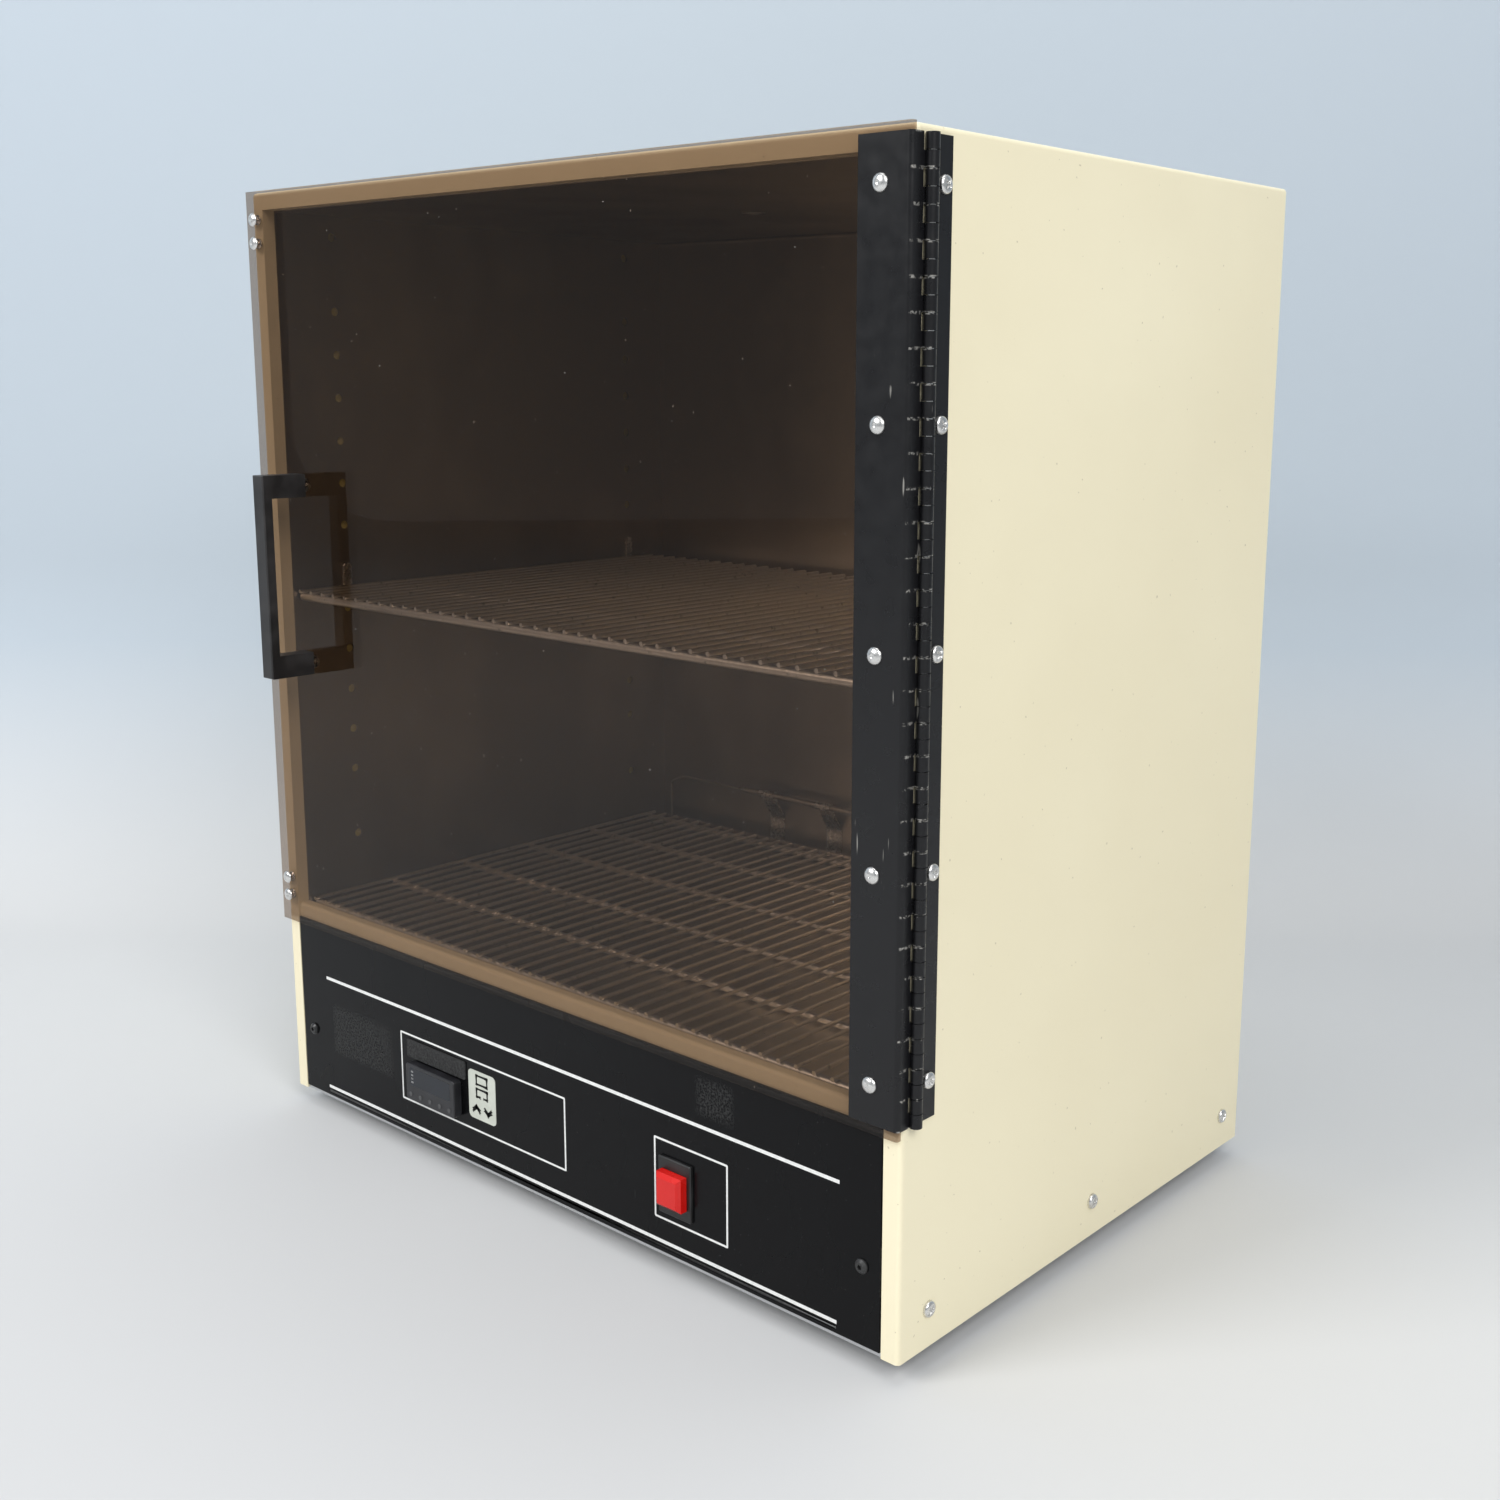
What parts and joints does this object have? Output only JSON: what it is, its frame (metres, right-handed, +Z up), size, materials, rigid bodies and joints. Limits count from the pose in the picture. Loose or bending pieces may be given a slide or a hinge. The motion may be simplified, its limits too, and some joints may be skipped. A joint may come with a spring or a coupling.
{
  "type": "laboratory incubator",
  "caption": "Bench incubator with a clear hinged door, wire shelves and a control panel below the chamber.",
  "frame": {"origin": "on the bench under the middle of the whole object's bounding box, at the undersides of the feet", "axes": "+Z up, the door and the control panel face -Y, the door's hinge is on the +X side"},
  "size_m": [0.5292, 0.3926, 0.597],
  "materials": {
    "shell_paint": "smooth ivory enamel",
    "zinc_sheet": "plain zinc coated sheet",
    "liner_metal": "satin sheet",
    "glass_wool": "compressed fibre board",
    "panel_black": "gloss black",
    "black_steel": "black oxide",
    "controller_plastic": "satin black",
    "display_window": "dark tinted gloss",
    "key_rubber": "moulded keys",
    "switch_black": "satin black",
    "switch_red": "translucent red",
    "door_acrylic": "clear bronze sheet",
    "handle_black": "satin black",
    "hinge_black": "worn black paint",
    "bright_steel": "zinc plated",
    "shelf_wire": "bright plated wire",
    "sensor_metal": "drawn tube",
    "magnet_ferrite": "dark ferrite",
    "bay_plastic": "moulded",
    "foot_rubber": "moulded rubber"
  },
  "bodies": {
    "door": {"door_pane": "door_acrylic", "door_handle": "handle_black", "handle_screws": "bright_steel", "hinge_door_leaf": "hinge_black", "hinge_rivets": "bright_steel", "striker_rivets": "bright_steel"},
    "power_button": {"power_button": "switch_red"},
    "upper_shelf": {"upper_shelf": "shelf_wire"},
    "lower_shelf": {"lower_shelf": "shelf_wire"},
    "key_1": {"controller_key_1": "key_rubber"},
    "key_2": {"controller_key_2": "key_rubber"},
    "key_3": {"controller_key_3": "key_rubber"},
    "key_4": {"controller_key_4": "key_rubber"},
    "key_5": {"controller_key_5": "key_rubber"},
    "cabinet": {"cabinet_shell": "shell_paint", "panel_tabs": "shell_paint", "base_pan": "zinc_sheet", "back_panel": "shell_paint", "bay_deck": "zinc_sheet", "front_ledge": "shell_paint", "chamber_liner": "liner_metal", "liner_left_wall": "liner_metal", "liner_right_wall": "liner_metal", "insulation_left": "glass_wool", "insulation_right": "glass_wool", "insulation_rear": "glass_wool", "insulation_top": "glass_wool", "vent_tube": "liner_metal", "heater_element": "sensor_metal", "heater_support_1": "zinc_sheet", "heater_support_2": "zinc_sheet", "thermostat_body": "bay_plastic", "solid_state_relay": "bay_plastic", "terminal_block": "bay_plastic", "cord_gland": "bay_plastic", "control_panel": "panel_black", "panel_screws": "black_steel", "controller_bezel": "controller_plastic", "controller_window": "display_window", "controller_case": "controller_plastic", "power_switch": "switch_black", "hinge_cabinet_leaf": "hinge_black", "hinge_pin": "bright_steel", "hinge_leaf_screws": "bright_steel", "side_screws": "bright_steel", "magnet_top": "magnet_ferrite", "magnet_bottom": "magnet_ferrite", "sensor_bulb": "sensor_metal", "sensor_clip_1": "bright_steel", "sensor_clip_2": "bright_steel", "foot_screws": "bright_steel", "shelf_clip_left_front": "bright_steel", "shelf_clip_left_rear": "bright_steel", "shelf_clip_right_front": "bright_steel", "shelf_clip_right_rear": "bright_steel", "foot_front_left": "foot_rubber", "foot_front_right": "foot_rubber", "foot_rear_left": "foot_rubber", "foot_rear_right": "foot_rubber"}
  },
  "joints": [
    {"name": "door_hinge", "type": "hinge", "parent": "cabinet", "child": "door", "pos_m": [0.2614, -0.15635, 0.3641], "axis": [0, 0, 1], "range_deg": [0, 175]},
    {"name": "power_button_push", "type": "slide", "parent": "cabinet", "child": "power_button", "axis": [0, 1, 0], "range_m": [0, 0.0025], "stiffness_N_per_m": 500, "springref_m": -0.001},
    {"name": "upper_shelf_lift", "type": "slide", "parent": "cabinet", "child": "upper_shelf", "axis": [0, 0, 1], "range_m": [0, 0.01]},
    {"name": "lower_shelf_lift", "type": "slide", "parent": "cabinet", "child": "lower_shelf", "axis": [0, 0, 1], "range_m": [0, 0.01]},
    {"name": "key_1_push", "type": "slide", "parent": "cabinet", "child": "key_1", "axis": [0, 1, 0], "range_m": [0, 0.0005], "stiffness_N_per_m": 300, "springref_m": -0.0002},
    {"name": "key_2_push", "type": "slide", "parent": "cabinet", "child": "key_2", "axis": [0, 1, 0], "range_m": [0, 0.0005], "stiffness_N_per_m": 300, "springref_m": -0.0002},
    {"name": "key_3_push", "type": "slide", "parent": "cabinet", "child": "key_3", "axis": [0, 1, 0], "range_m": [0, 0.0005], "stiffness_N_per_m": 300, "springref_m": -0.0002},
    {"name": "key_4_push", "type": "slide", "parent": "cabinet", "child": "key_4", "axis": [0, 1, 0], "range_m": [0, 0.0005], "stiffness_N_per_m": 300, "springref_m": -0.0002},
    {"name": "key_5_push", "type": "slide", "parent": "cabinet", "child": "key_5", "axis": [0, 1, 0], "range_m": [0, 0.0005], "stiffness_N_per_m": 300, "springref_m": -0.0002}
  ]
}
